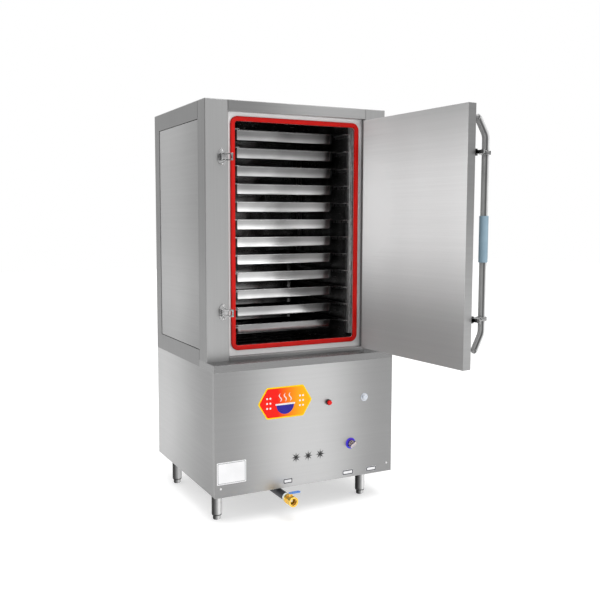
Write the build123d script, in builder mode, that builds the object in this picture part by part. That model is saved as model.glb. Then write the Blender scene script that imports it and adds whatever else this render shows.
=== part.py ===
from build123d import *
import os
from math import cos, radians, sin

os.makedirs("parts", exist_ok=True)

# A gas steam cabinet for rice noodle rolls: a steam chamber with twelve trays and one hinged door,
# standing on a lower cabinet with the water tank, the burner and the gas controls.
# Millimetres. +X is to the right seen from the front, +Y to the back, +Z up, the floor at z = 0.
# The door stands open, and the frame's origin is under the middle of everything with it open.

# the cabinet's own place in the frame
centre_x = -24.0  # the cabinet's middle plane
post_y = 16.0  # the front face of the two front posts

# casing
cabinet_width = 740.0
cabinet_height = 1500.0
upper_depth = 566.0
base_overhang = 71.5  # how far the lower cabinet stands in front of the posts
leg_clearance = 105.0  # floor to the lower cabinet
lower_top = 552.0  # where the upper cabinet rests on the lower one
ledge_height = 25.5
sheet = 1.2
tube_wall = 1.5
seat = 0.3  # clearance of pieces that are laid in place
post_width = 88.0
post_depth = 72.0
fold_radius = 3.0
header_height = 37.0
sill_height = 12.5
rear_post_width = 40.0
rear_post_depth = 56.0
rail_height = 62.0
rail_width = 20.0
panel_inset = 1.5  # side panels lie this far inside the posts' faces
panel_gap = 2.0  # the dark seam round each side panel
panel_fold = 12.0

# door opening, seal and chamber
recess_depth = 27.0
seal_width = 17.0
seal_thickness = 9.0
seal_side_gap = 17.0  # opening's side to the seal
seal_sill_gap = 20.0
seal_header_gap = 15.0
seal_corner = 28.0
seal_round = 3.5
chamber_side_gap = 26.0  # opening's side to the chamber's wall
chamber_back_gap = 67.8  # chamber to the back of the casing
chamber_sill_gap = 10.0
chamber_header_gap = 13.0
steam_slots = 5
steam_slot_length = 300.0
steam_slot_width = 12.0
steam_slot_pitch = 66.0

# trays and racks
tray_count = 12
tray_roof_gap = 41.0  # chamber's roof to the top tray's rim
tray_floor_gap = 91.25  # chamber's floor to the lowest tray's rim
tray_rim = 14.0
tray_depth = 38.0
tray_wall = 1.0
tray_draft = 8.0
tray_corner = 26.0
tray_foot_radius = 7.0
tray_setback = 94.0  # front rim behind the posts' face
tray_side_gap = 12.0  # rim to the upright of the rack
tray_back_gap = 4.2
runner_sheet = 1.5
runner_flange = 12.0
rim_overlap = 10.0  # how far a runner reaches under the tray's rim
upright_setback = 45.0
upright_depth = 30.0
upright_thickness = 14.0
upright_sheet = 1.5
rack_floor_gap = 40.0
rack_roof_gap = 10.0

# door
door_thickness = 34.0
door_hinge_gap = 3.0  # opening's right side to the door
door_latch_gap = 18.0
door_sill_gap = 2.5
door_header_gap = 10.5
seal_squeeze = 0.5  # closed door to the seal's front
door_open = 94.8  # degrees from closed, as it stands

# hinges
pin_from_edge = 10.5  # hinge pin beyond the door's edge
pin_from_face = 3.5  # hinge pin in front of the door's outer face
hinge_pin_radius = 4.0
hinge_knuckle_radius = 8.0
hinge_running_fit = 0.05
knuckle_height = 38.0
knuckle_gap = 0.5
hinge_leaf = 3.0
hinge_leaf_width = 52.0
hinge_web = 10.0  # joins each lower knuckle to its leaf
hinge_pin_inset = 2.0  # pin's end below the upper knuckle's top
hinge_inset = 107.5  # each hinge from the door's nearer end

# latch: strikers on the left post, brackets and hooked levers on the door
latch_bottom_inset = 161.5  # latches from the door's ends
latch_top_inset = 152.5
striker_inset = 24.0  # plate's middle from the opening's side
striker_plate_width = 34.0
striker_plate_height = 60.0
striker_plate = 3.0
striker_pin_inset = 2.0
striker_pin_y = -37.7
striker_pin_radius = 4.0
striker_ear = 4.0
striker_mouth = 17.0  # height between the two ears
striker_body = 20.0
striker_foot = 12.0  # middle of the body to the foot of each ear
striker_reach = 20.0  # body's front from the post
striker_cheek = 1.0  # metal in front of the pin
lever_pin_inset = 24.0  # lever's pin from the door's free edge
lever_pin_standoff = 21.5
lever_pin_radius = 4.0
lever_running_fit = 0.05
lever_height = 12.0
lever_hub_radius = 9.0
lever_ring_radius = 17.0
lever_tip = 49.5  # lever's pin to the hook's tip
hook_root = 7.0  # half the hook's width at the hub
hook_neck = 2.9  # and at its crank
hook_crank = 5.0
arm_root = 6.0
arm_tip = 7.0
hook_thickness = 5.5
hook_gap = 0.7  # hook to the striker's pin, with the door closed
hook_side_gap = 1.5
bracket_width = 36.0
bracket_shoulder = 7.0  # ears start this far inside the bracket's sides
bracket_sheet = 4.0
bracket_gap = 1.0  # lever to each ear

# handle
handle_inset = 28.0  # bar from the door's free edge
handle_standoff = 73.5  # bar from the door's outer face
handle_radius = 12.0
handle_clearance = 0.1
handle_bottom_inset = 112.5  # straight run of the bar from the door's ends
handle_top_inset = 95.5
handle_end_rise = 54.0
handle_top_return = 36.0
handle_bottom_return = 30.0
handle_bend_radius = 45.0
grip_drop = 4.0  # grip's middle below the door's middle
grip_length = 153.0
grip_radius = 15.0

# lower cabinet's front: vents and controls
front_return = 20.0  # the front panel's fold round each corner
vent_count = 3
vent_x = 1.8
vent_z = 211.6
vent_pitch = 50.8
vent_radius = 14.0
vent_hub = 2.2
vent_petals = 8
vent_petal_width = 5.2
vent_petal_belly = 0.6  # widest place along each petal, from the hub
screw_inset = 22.0
screw_z = 138.0
screw_radius = 4.5
screw_head = 1.8
knob_x = 184.6
knob_z = 236.0
knob_radius = 13.0
knob_length = 24.0
knob_wing_length = 32.0
knob_wing_width = 9.0
knob_wing_turn = 35.0
dial_radius = 21.0
dial_thickness = 1.0
spindle_radius = 4.0
valve_radius = 13.0
valve_length = 46.0
button_x = 85.7
button_z = 405.0
button_radius = 8.0
button_length = 16.0
button_travel = 4.0
button_round = 2.0
collar_radius = 10.5
collar_length = 8.0
lamp_x = 244.3
lamp_z = 408.0
lamp_radius = 9.5
lamp_length = 9.0
lamp_round = 4.0
bezel_radius = 12.0
bezel_length = 2.5
stem_radius = 6.0  # threaded stems of the button and the lamp behind the panel
stem_length = 18.0
hole_clearance = 0.5

# water tank, burner and pipes
tank_side_gap = 46.0  # chamber's wall to the tank's
tank_back_gap = 38.2
tank_depth = 96.0
tank_rim = 15.0
tank_wall = 1.5
tank_corner = 20.0
tank_setback = 80.0
burner_radius = 120.0
burner_tube = 11.0
burner_round = 3.5
burner_drop = 70.0  # tank's bottom to the burner
flame_ports = 24
flame_port_radius = 2.5
flame_port_depth = 6.0
burner_bar = 6.0
burner_feed = 7.0
feed_setback = 60.0
pipe_bend = 25.0
pipe_radius = 10.65  # half-inch pipe
thread_radius = 10.48
thread_length = 16.0
pipe_wall = 2.5
inlet_back = 200.0
inlet_drop = 35.0  # below the base pan
gas_inlet_x = 278.0
water_inlet_x = 174.0

# drain under the front edge
drain_x = -104.0
drain_drop = 25.0  # below the casing
drain_back = 120.0
drain_radius = 15.0
drain_wall = 4.0
drain_front = -114.0
drain_bend = 22.0
ball_valve_length = 45.0
ball_valve_radius = 15.5
ball_collar_radius = 18.5
ball_collar_length = 14.0
ball_bore_radius = 12.06
ball_bore_depth = 11.0
ball_radius = 10.5
ball_port = 7.5
ball_clearance = 0.3
stem_sink = 1.0  # stem into the ball
neck_radius = 7.0
neck_top = 25.0  # above the valve's axis
lever_stem_radius = 3.5
lever_blade_length = 46.0
lever_blade_width = 16.0
lever_eye_length = 18.0
lever_eye_width = 8.0
lever_eye_shift = 8.0
lever_blade = 3.0

# feet
foot_left_inset = 39.0
foot_right_inset = 91.0
foot_front = 10.0
foot_rear_inset = 117.0
sleeve_radius = 19.0
sleeve_wall = 3.0
sleeve_chamfer = 1.5
foot_radius = 14.5
foot_height = 19.0
foot_chamfer = 1.5
foot_travel = 25.0  # how far each foot screws out
foot_hold = 30.0  # stem that stays in the sleeve then
foot_stem_radius = 15.85  # slides in the sleeve's bore
foot_groove = 2.5
foot_groove_depth = 1.5

# derived places, in the cabinet's own frame: x from its middle, y from the posts' face
side = cabinet_width / 2
ledge_top = lower_top + ledge_height
recess_half = side - post_width
sill_top = ledge_top + sill_height
header_bottom = cabinet_height - header_height
recess_height = header_bottom - sill_top
rear_post_front = upper_depth - rear_post_depth
cover_bottom = cabinet_height - tube_wall
seal_outer_width = 2 * (recess_half - seal_side_gap)
seal_bottom = sill_top + seal_sill_gap
seal_outer_height = header_bottom - seal_header_gap - seal_bottom
seal_inner_width = seal_outer_width - 2 * seal_width
seal_inner_height = seal_outer_height - 2 * seal_width
seal_inner_corner = seal_corner - seal_width
seal_middle_z = seal_bottom + seal_outer_height / 2
chamber_front = recess_depth + sheet
chamber_half = recess_half - chamber_side_gap
chamber_back = upper_depth - chamber_back_gap
chamber_floor = sill_top + chamber_sill_gap
chamber_roof = header_bottom - chamber_header_gap
door_hinge_edge = recess_half - door_hinge_gap
door_free_edge = door_latch_gap - recess_half
door_inner = recess_depth - seal_thickness - seal_squeeze
door_outer = door_inner - door_thickness
door_bottom = sill_top + door_sill_gap
door_top = header_bottom - door_header_gap
hinge_heights = (door_bottom + hinge_inset, door_top - hinge_inset)
latch_heights = (door_bottom + latch_bottom_inset, door_top - latch_top_inset)
striker_x = -recess_half - striker_inset
striker_pin_x = -recess_half - striker_pin_inset
handle_bottom = door_bottom + handle_bottom_inset
handle_top = door_top - handle_top_inset
grip_bottom = (door_bottom + door_top - grip_length) / 2 - grip_drop
pin_x = door_hinge_edge + pin_from_edge
pin_y = door_outer - pin_from_face
lever_x = door_free_edge + lever_pin_inset
lever_y = door_outer - lever_pin_standoff
bar_x = door_free_edge + handle_inset
bar_y = door_outer - handle_standoff
front_face = -base_overhang
casing_half = side - panel_fold - seat  # clear of the folds inside the sides
tray_half = chamber_half - upright_thickness - tray_side_gap
tray_width = 2 * tray_half
tray_length = chamber_back - tray_back_gap - tray_setback
tank_width = 2 * (chamber_half - tank_side_gap)
tank_length = chamber_back - tank_back_gap - tank_setback
tank_middle = tank_setback + tank_length / 2
drain_z = leg_clearance - drain_drop
foot_left = foot_left_inset - side
foot_right = side - foot_right_inset
foot_rear = upper_depth - foot_rear_inset
panel_back = front_face + sheet
lower_y = (front_face + front_return + seat, upper_depth - sheet - seat)
lower_z = (leg_clearance, lower_top)
foot_places = {
    "front_left": (foot_left, foot_front),
    "front_right": (foot_right, foot_front),
    "rear_left": (foot_left, foot_rear),
    "rear_right": (foot_right, foot_rear),
}

cabinet = Plane((centre_x, post_y, 0))
swing = radians(door_open)
door = Plane((centre_x + pin_x, post_y + pin_y, 0), (cos(swing), sin(swing), 0), (0, 0, 1))


def level(base, z=0.0):
    # the base plane at height z
    return base.offset(z)


def facing(base, y=0.0):
    # seen from the front: x to the right, y up, growing to the front
    return Plane(base.from_local_coords((0, y, 0)), base.x_dir, -base.y_dir)


def across(base, x=0.0):
    # seen from the right: x to the back, y up, growing to the right
    return Plane(base.from_local_coords((x, 0, 0)), base.y_dir, base.x_dir)


def block(base, x, y, z, mode=Mode.ADD):
    # a box between two x, two y and two z places of a base plane
    size = (x[1] - x[0], y[1] - y[0], z[1] - z[0])
    with Locations(base.location * Pos(x[0], y[0], z[0])):
        Box(*size, align=(Align.MIN, Align.MIN, Align.MIN), mode=mode)


def rod(plane, x, y, radius, length, mode=Mode.ADD):
    # a round bar that grows from a plane
    with Locations(plane.location * Pos(x, y, 0)):
        Cylinder(radius, length, align=(Align.CENTER, Align.CENTER, Align.MIN), mode=mode)


def pipe(base, points, bend, outer, wall=0.0):
    # a round tube along straight runs with bends, through a base plane's points
    with BuildLine(base) as route:
        FilletPolyline(*points, radius=bend)
    with BuildSketch(Plane(route.line @ 0, z_dir=route.line % 0)) as section:
        Circle(outer)
        if wall:
            Circle(outer - wall, mode=Mode.SUBTRACT)
    sweep(section.sketch, path=route.line)


def door_x(x):
    # the closed door's x, counted from the hinge pin
    return x - pin_x


def door_y(y):
    # the closed door's y, counted from the hinge pin
    return y - pin_y


def finish(piece, name):
    piece.part.label = name
    export_step(piece.part, f"parts/{name}.step")


# upper casing

with BuildPart() as front_posts:  # folded box posts, one each side of the door
    with BuildSketch(level(cabinet, ledge_top)):
        for x in (-side + post_width / 2, side - post_width / 2):
            with Locations((x, post_depth / 2)):
                RectangleRounded(post_width, post_depth, fold_radius)
                Rectangle(post_width - 2 * tube_wall, post_depth - 2 * tube_wall, mode=Mode.SUBTRACT)
    extrude(amount=cover_bottom - ledge_top)
finish(front_posts, "front_posts")

with BuildPart() as header_rail:
    block(cabinet, (-recess_half, recess_half), (0, post_depth), (header_bottom, cover_bottom))
    block(cabinet, (-recess_half, recess_half), (tube_wall, post_depth - tube_wall),
          (header_bottom + tube_wall, cover_bottom - tube_wall), mode=Mode.SUBTRACT)
finish(header_rail, "header_rail")

with BuildPart() as sill_rail:
    block(cabinet, (-recess_half, recess_half), (0, post_depth), (ledge_top, sill_top))
    block(cabinet, (-recess_half, recess_half), (tube_wall, post_depth - tube_wall),
          (ledge_top + tube_wall, sill_top - tube_wall), mode=Mode.SUBTRACT)
finish(sill_rail, "sill_rail")

with BuildPart() as front_ledge:  # drip ledge under the posts, folded down at every edge
    block(cabinet, (-side, side), (front_face, post_depth), (lower_top, ledge_top))
    block(cabinet, (-side + tube_wall, side - tube_wall), (front_face + tube_wall, post_depth - tube_wall),
          (lower_top, ledge_top - tube_wall), mode=Mode.SUBTRACT)
finish(front_ledge, "front_ledge")

with BuildPart() as side_frames:  # rear posts, and a rail at the top and bottom of each side
    with BuildSketch(level(cabinet, lower_top)):
        for x in (-side + rear_post_width / 2, side - rear_post_width / 2):
            with Locations((x, rear_post_front + rear_post_depth / 2)):
                Rectangle(rear_post_width, rear_post_depth)
                Rectangle(rear_post_width - 2 * tube_wall, rear_post_depth - 2 * tube_wall,
                          mode=Mode.SUBTRACT)
    extrude(amount=cover_bottom - lower_top)
    for z in (lower_top, cover_bottom - rail_height):
        with BuildSketch(facing(cabinet, rear_post_front)):
            for x in (-side + rail_width / 2, side - rail_width / 2):
                with Locations((x, z + rail_height / 2)):
                    Rectangle(rail_width, rail_height)
                    Rectangle(rail_width - 2 * tube_wall, rail_height - 2 * tube_wall, mode=Mode.SUBTRACT)
        extrude(amount=rear_post_front - post_depth)
finish(side_frames, "side_frames")

with BuildPart() as side_panels:  # shallow pans laid between the rails, folded in round the edge
    panel_y = (post_depth + panel_gap, rear_post_front - panel_gap)
    panel_z = (lower_top + rail_height + panel_gap, cover_bottom - rail_height - panel_gap)
    for out, inward in ((-side + panel_inset, 1), (side - panel_inset, -1)):
        pan_x = sorted((out, out + inward * panel_fold))
        hollow_x = sorted((out + inward * sheet, out + inward * panel_fold))
        block(cabinet, pan_x, panel_y, panel_z)
        block(cabinet, hollow_x, (panel_y[0] + sheet, panel_y[1] - sheet),
              (panel_z[0] + sheet, panel_z[1] - sheet), mode=Mode.SUBTRACT)
finish(side_panels, "side_panels")

with BuildPart() as top_cover:
    block(cabinet, (-side, side), (0, upper_depth), (cover_bottom, cabinet_height))
finish(top_cover, "top_cover")

with BuildPart() as back_panels:  # one sheet behind the chamber, one behind the lower cabinet
    upper_half = side - rear_post_width - seat
    block(cabinet, (-upper_half, upper_half), (upper_depth - panel_inset - sheet, upper_depth - panel_inset),
          (lower_top + seat, cover_bottom - seat))
    lower_half = side - sheet - seat
    block(cabinet, (-lower_half, lower_half), (upper_depth - sheet, upper_depth),
          (leg_clearance + sheet + seat, lower_top - seat))
finish(back_panels, "back_panels")

# door opening and chamber

with BuildPart() as recess_frame:  # the bright frame that the seal lies on
    with BuildSketch(facing(cabinet, chamber_front)):
        with Locations((0, sill_top + recess_height / 2)):
            Rectangle(2 * recess_half, recess_height)
        with Locations((0, seal_middle_z)):
            RectangleRounded(seal_inner_width, seal_inner_height, seal_inner_corner, mode=Mode.SUBTRACT)
    extrude(amount=sheet)
finish(recess_frame, "recess_frame")

with BuildPart() as door_seal:  # red silicone seal with a rounded front
    with BuildSketch(facing(cabinet, recess_depth)):
        with Locations((0, seal_middle_z)):
            RectangleRounded(seal_outer_width, seal_outer_height, seal_corner)
            RectangleRounded(seal_inner_width, seal_inner_height, seal_inner_corner, mode=Mode.SUBTRACT)
    extrude(amount=seal_thickness)
    fillet(door_seal.faces().sort_by(Axis.Y)[0].edges(), radius=seal_round)
finish(door_seal, "door_seal")

with BuildPart() as chamber_liner:  # welded box, open to the front, with steam slots in its floor
    block(cabinet, (-chamber_half - sheet, chamber_half + sheet), (chamber_front, chamber_back + sheet),
          (chamber_floor - sheet, chamber_roof + sheet))
    block(cabinet, (-chamber_half, chamber_half), (chamber_front, chamber_back),
          (chamber_floor, chamber_roof), mode=Mode.SUBTRACT)
    with BuildSketch(level(cabinet, chamber_floor - sheet)):
        with Locations((0, tank_middle)):
            with GridLocations(0, steam_slot_pitch, 1, steam_slots):
                SlotOverall(steam_slot_length, steam_slot_width)
    extrude(amount=sheet, mode=Mode.SUBTRACT)
finish(chamber_liner, "chamber_liner")

with BuildPart() as insulation:  # slabs between the liner and the casing
    wool_y = (chamber_front + post_depth, chamber_back - seat)
    liner_side = chamber_half + sheet + seat
    casing_side = side - panel_inset - panel_fold - seat
    for x in ((-casing_side, -liner_side), (liner_side, casing_side)):
        block(cabinet, x, wool_y, (ledge_top + rail_height, cover_bottom - rail_height - seat))
    block(cabinet, (-liner_side, liner_side), (chamber_back + sheet + seat, upper_depth - rail_width),
          (ledge_top + rail_height, cover_bottom - rail_height))
    block(cabinet, (-liner_side, liner_side), wool_y, (chamber_roof + sheet + seat, cover_bottom - seat))
finish(insulation, "insulation")

runner_reach = tray_half + tray_side_gap
runner_start = upright_setback
runner_end = tray_setback + tray_length
rack_bottom = chamber_floor + rack_floor_gap
rack_top = chamber_roof - rack_roof_gap
tray_top = chamber_roof - tray_roof_gap
tray_pitch = (tray_top - chamber_floor - tray_floor_gap) / (tray_count - 1)
rim_tops = [tray_top - n * tray_pitch for n in range(tray_count)]

with BuildPart() as tray_racks:  # two uprights and twelve angle runners on each side
    for turn in (1, -1):
        wall_x = sorted((turn * runner_reach, turn * chamber_half))
        groove_x = sorted((turn * (runner_reach + upright_sheet), turn * chamber_half))
        ledge_x = sorted((turn * (tray_half - rim_overlap), turn * runner_reach))
        back_x = sorted((turn * (runner_reach - runner_sheet), turn * runner_reach))
        for y in (upright_setback, runner_end - upright_depth):
            block(cabinet, wall_x, (y, y + upright_depth), (rack_bottom, rack_top))
            block(cabinet, groove_x, (y + upright_sheet, y + upright_depth - upright_sheet),
                  (rack_bottom, rack_top), mode=Mode.SUBTRACT)
        for rim in rim_tops:
            under = rim - tray_wall - seat
            block(cabinet, ledge_x, (runner_start, runner_end), (under - runner_sheet, under))
            block(cabinet, back_x, (runner_start, runner_end), (under - runner_flange, under))
finish(tray_racks, "tray_racks")

pan_width = tray_width - 2 * tray_rim
pan_length = tray_length - 2 * tray_rim
tray_middle = tray_setback + tray_length / 2


def pressed_form(width, length, corner, top, depth, foot):
    # the drafted block that a pressed pan's outside or inside fills
    with BuildPart() as form:
        with BuildSketch(level(cabinet, top)):
            with Locations((0, tray_middle)):
                RectangleRounded(width, length, corner)
        extrude(amount=-depth, taper=tray_draft)
        fillet(form.faces().sort_by(Axis.Z)[0].edges(), radius=foot)
    return form.part


def build_tray(rim):
    # a pressed pan with drafted walls, rounded corners and a flat rim
    outside = pressed_form(pan_width, pan_length, tray_corner, rim, tray_depth, tray_foot_radius)
    inside = pressed_form(pan_width - 2 * tray_wall, pan_length - 2 * tray_wall, tray_corner - tray_wall,
                          rim, tray_depth - tray_wall, tray_foot_radius - tray_wall)
    with BuildPart() as tray:
        with BuildSketch(level(cabinet, rim - tray_wall)):
            with Locations((0, tray_middle)):
                RectangleRounded(tray_width, tray_length, tray_corner / 2)
        extrude(amount=tray_wall)
        add(outside)
        add(inside, mode=Mode.SUBTRACT)
    return tray


for n, rim in enumerate(rim_tops, start=1):
    finish(build_tray(rim), f"tray_{n:02d}")

# door

door_side_x = (door_x(door_free_edge), door_x(door_hinge_edge))
outer_y = door_y(door_outer)
inner_y = door_y(door_inner)
skin_y = inner_y - sheet

with BuildPart() as door_outer_panel:  # folded pan, open to the inside
    block(door, door_side_x, (outer_y, skin_y), (door_bottom, door_top))
    block(door, (door_side_x[0] + sheet, door_side_x[1] - sheet), (outer_y + sheet, skin_y),
          (door_bottom + sheet, door_top - sheet), mode=Mode.SUBTRACT)
finish(door_outer_panel, "door_outer_panel")

with BuildPart() as door_inner_panel:  # the plain brushed sheet that closes the pan
    block(door, door_side_x, (skin_y, inner_y), (door_bottom, door_top))
finish(door_inner_panel, "door_inner_panel")

with BuildPart() as door_core:
    block(door, (door_side_x[0] + sheet + seat, door_side_x[1] - sheet - seat),
          (outer_y + sheet + seat, skin_y - seat),
          (door_bottom + sheet + seat, door_top - sheet - seat))
finish(door_core, "door_core")

with BuildPart() as door_hinges:  # upper halves of the lift-off hinges, bored for the pins
    for z in hinge_heights:
        top = z + knuckle_gap + knuckle_height
        rod(level(door, z + knuckle_gap), 0, 0, hinge_knuckle_radius, knuckle_height)
        block(door, (-pin_from_edge - hinge_leaf_width, 0), (outer_y - hinge_leaf, outer_y),
              (z + knuckle_gap, top))
        rod(level(door, z + knuckle_gap), 0, 0, hinge_pin_radius + hinge_running_fit,
            knuckle_height, mode=Mode.SUBTRACT)
finish(door_hinges, "door_hinges")

with BuildPart() as hinge_brackets:  # lower halves on the right post, with the fixed pins
    for z in hinge_heights:
        low = z - knuckle_height
        block(cabinet, (pin_x, pin_x + hinge_leaf_width), (-hinge_leaf, 0), (low, z))
        block(cabinet, (pin_x - hinge_web / 2, pin_x + hinge_web / 2), (pin_y, 0), (low, z))
        rod(level(cabinet, low), pin_x, pin_y, hinge_knuckle_radius, knuckle_height)
        rod(level(cabinet, z), pin_x, pin_y, hinge_pin_radius,
            knuckle_gap + knuckle_height - hinge_pin_inset)
finish(hinge_brackets, "hinge_brackets")

# latch and handle

lever_at = (door_x(lever_x), door_y(lever_y))
bar_at = (door_x(bar_x), door_y(bar_y))
ear_height = lever_height / 2 + bracket_gap

with BuildPart() as latch_brackets:  # a forked bracket with its pin at each latch
    for z in latch_heights:
        base_x = (lever_at[0] - bracket_width / 2, lever_at[0] + bracket_width / 2)
        outer_ear = ear_height + bracket_sheet
        block(door, base_x, (outer_y - bracket_sheet, outer_y), (z - outer_ear, z + outer_ear))
        for low in (z - outer_ear, z + ear_height):
            with BuildSketch(level(door, low)) as ear:
                with Locations(lever_at):
                    Circle(lever_hub_radius)
                with BuildLine():
                    Polyline((base_x[0] + bracket_shoulder, outer_y - bracket_sheet),
                             (base_x[1] - bracket_shoulder, outer_y - bracket_sheet),
                             (lever_at[0] + lever_hub_radius, lever_at[1]),
                             (lever_at[0] - lever_hub_radius, lever_at[1]), close=True)
                make_face()
            extrude(ear.sketch, amount=bracket_sheet)
        rod(level(door, z - outer_ear), *lever_at, lever_pin_radius, 2 * outer_ear)
finish(latch_brackets, "latch_brackets")

hook_step = lever_x - striker_pin_x - striker_pin_radius - hook_side_gap  # arm ends beside the striker's pin
hook_front = striker_pin_y + striker_pin_radius + hook_gap - lever_y  # hook's face behind the pin
hook_back = hook_front + hook_thickness

with BuildPart() as latch_levers:  # hook, hub and bar clamp in one lever, at each latch
    crank = hook_crank - hook_step
    bar_step = (bar_x - lever_x, bar_y - lever_y)
    hook = [(hook_root / 2, -hook_root), (crank, -hook_neck), (-hook_step, 0), (-hook_step, hook_front),
            (-lever_tip, hook_front), (-lever_tip, hook_back), (-hook_step, hook_back), (crank, hook_neck),
            (0, hook_root)]
    arm = [(-arm_root, 0), (arm_root, 0), (bar_step[0] + arm_tip, bar_step[1]),
           (bar_step[0] - arm_tip, bar_step[1])]
    for z in latch_heights:
        with BuildSketch(level(door, z - lever_height / 2)) as lever:
            for outline in (hook, arm):
                with BuildLine():
                    Polyline(*[(lever_at[0] + x, lever_at[1] + y) for x, y in outline], close=True)
                make_face()
            with Locations(lever_at):
                Circle(lever_hub_radius)
            with Locations(bar_at):
                Circle(lever_ring_radius)
                Circle(handle_radius + handle_clearance, mode=Mode.SUBTRACT)
            with Locations(lever_at):
                Circle(lever_pin_radius + lever_running_fit, mode=Mode.SUBTRACT)
        extrude(lever.sketch, amount=lever_height)
finish(latch_levers, "latch_levers")

with BuildPart() as strikers:  # oval plate with a forked hook and a cross pin, on the left post
    for z in latch_heights:
        outer_ear = striker_mouth / 2 + striker_ear
        with BuildSketch(facing(cabinet, 0)) as plate:
            with Locations((striker_x, z)):
                Ellipse(striker_plate_width / 2, striker_plate_height / 2)
        extrude(plate.sketch, amount=striker_plate)
        block(cabinet, (striker_x - striker_body / 2, striker_x + striker_body / 2),
              (-striker_reach, -striker_plate), (z - outer_ear, z + outer_ear))
        for low in (z - outer_ear, z + striker_mouth / 2):
            with BuildSketch(level(cabinet, low)) as ear:
                with Locations((striker_pin_x, striker_pin_y)):
                    Circle(striker_pin_radius + striker_cheek)
                with BuildLine():
                    Polyline((striker_x - striker_body / 2, -striker_plate),
                             (striker_x + striker_foot, -striker_plate),
                             (striker_pin_x + striker_pin_radius + striker_cheek, striker_pin_y),
                             (striker_pin_x - striker_pin_radius, striker_pin_y - striker_pin_radius),
                             (striker_x - striker_body / 2, -striker_reach), close=True)
                make_face()
            extrude(ear.sketch, amount=striker_ear)
        rod(level(cabinet, z - outer_ear), striker_pin_x, striker_pin_y, striker_pin_radius, 2 * outer_ear)
finish(strikers, "strikers")

with BuildPart() as handle_bar:  # tube, bent towards the door at both ends
    points = [(bar_at[0], bar_at[1] + handle_bottom_return, handle_bottom - handle_end_rise),
              (*bar_at, handle_bottom), (*bar_at, handle_top),
              (bar_at[0], bar_at[1] + handle_top_return, handle_top + handle_end_rise)]
    pipe(door, points, handle_bend_radius, handle_radius, tube_wall)
finish(handle_bar, "handle_bar")

with BuildPart() as handle_grip:
    with BuildSketch(level(door, grip_bottom)):
        with Locations(bar_at):
            Circle(grip_radius)
            Circle(handle_radius + handle_clearance, mode=Mode.SUBTRACT)
    extrude(amount=grip_length)
finish(handle_grip, "handle_grip")

# lower casing

with BuildPart() as lower_front:  # folded front with star vents and holes for the controls
    block(cabinet, (-side, side), (front_face, front_face + front_return), lower_z)
    block(cabinet, (-side + sheet, side - sheet), (panel_back, front_face + front_return),
          (lower_z[0] + sheet, lower_z[1] - sheet), mode=Mode.SUBTRACT)
    with BuildSketch(facing(cabinet, panel_back)) as cuts:
        belly = vent_petal_belly * (vent_radius - vent_hub)
        with Locations((vent_x, vent_z)):
            with GridLocations(vent_pitch, 0, vent_count, 1):
                with PolarLocations(vent_hub, vent_petals):
                    Polygon((0, 0), (belly, -vent_petal_width / 2), (vent_radius - vent_hub, 0),
                            (belly, vent_petal_width / 2), align=None)
        with Locations((knob_x, knob_z)):
            Circle(spindle_radius + hole_clearance)
        with Locations((button_x, button_z), (lamp_x, lamp_z)):
            Circle(stem_radius + hole_clearance)
    extrude(cuts.sketch, amount=sheet, mode=Mode.SUBTRACT)
finish(lower_front, "lower_front")

with BuildPart() as lower_sides:  # a sheet each side, folded in at the top and bottom
    for out, inward in ((-side, 1), (side, -1)):
        fold_x = sorted((out, out + inward * panel_fold))
        hollow_x = sorted((out + inward * sheet, out + inward * panel_fold))
        block(cabinet, fold_x, lower_y, lower_z)
        block(cabinet, hollow_x, lower_y, (lower_z[0] + sheet, lower_z[1] - sheet), mode=Mode.SUBTRACT)
finish(lower_sides, "lower_sides")

with BuildPart() as base_pan:  # bottom sheet with openings for the drain, the gas and the water
    block(cabinet, (-casing_half, casing_half), lower_y, (leg_clearance, leg_clearance + sheet))
    base = level(cabinet, leg_clearance)
    for x, y, radius in ((drain_x, drain_back, drain_radius), (gas_inlet_x, inlet_back, pipe_radius),
                         (water_inlet_x, inlet_back, pipe_radius)):
        rod(base, x, y, radius + hole_clearance, sheet, mode=Mode.SUBTRACT)
finish(base_pan, "base_pan")

with BuildPart() as panel_screws:
    for x in (screw_inset - side, side - screw_inset):
        rod(facing(cabinet, front_face), x, screw_z, screw_radius, screw_head)
    fillet(panel_screws.faces().sort_by(Axis.Y)[0:2].edges(), radius=screw_head / 2)
finish(panel_screws, "panel_screws")

# water tank, burner and gas

tank_top = chamber_floor - sheet
tank_bottom = tank_top - tank_depth

with BuildPart() as water_tank:
    with BuildSketch(level(cabinet, tank_bottom)):
        with Locations((0, tank_middle)):
            RectangleRounded(tank_width, tank_length, tank_corner)
    extrude(amount=tank_depth)
    offset(amount=-tank_wall, openings=water_tank.faces().sort_by(Axis.Z)[-1])
    with BuildSketch(level(cabinet, tank_top - tank_wall)):
        with Locations((0, tank_middle)):
            RectangleRounded(tank_width + 2 * tank_rim, tank_length + 2 * tank_rim, tank_corner)
            RectangleRounded(tank_width - 2 * tank_wall, tank_length - 2 * tank_wall,
                             tank_corner - tank_wall, mode=Mode.SUBTRACT)
    extrude(amount=tank_wall)
    rod(level(cabinet, tank_bottom), drain_x, drain_back, drain_radius - drain_wall, tank_wall,
        mode=Mode.SUBTRACT)
finish(water_tank, "water_tank")

burner_z = tank_bottom - burner_drop
valve_front = panel_back + seat
valve_back = valve_front + valve_length

ring_plane = Plane(cabinet.from_local_coords((burner_radius, tank_middle, burner_z)), (1, 0, 0), (0, -1, 0))
ring_axis = Axis(cabinet.from_local_coords((0, tank_middle, 0)), (0, 0, 1))

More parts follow.
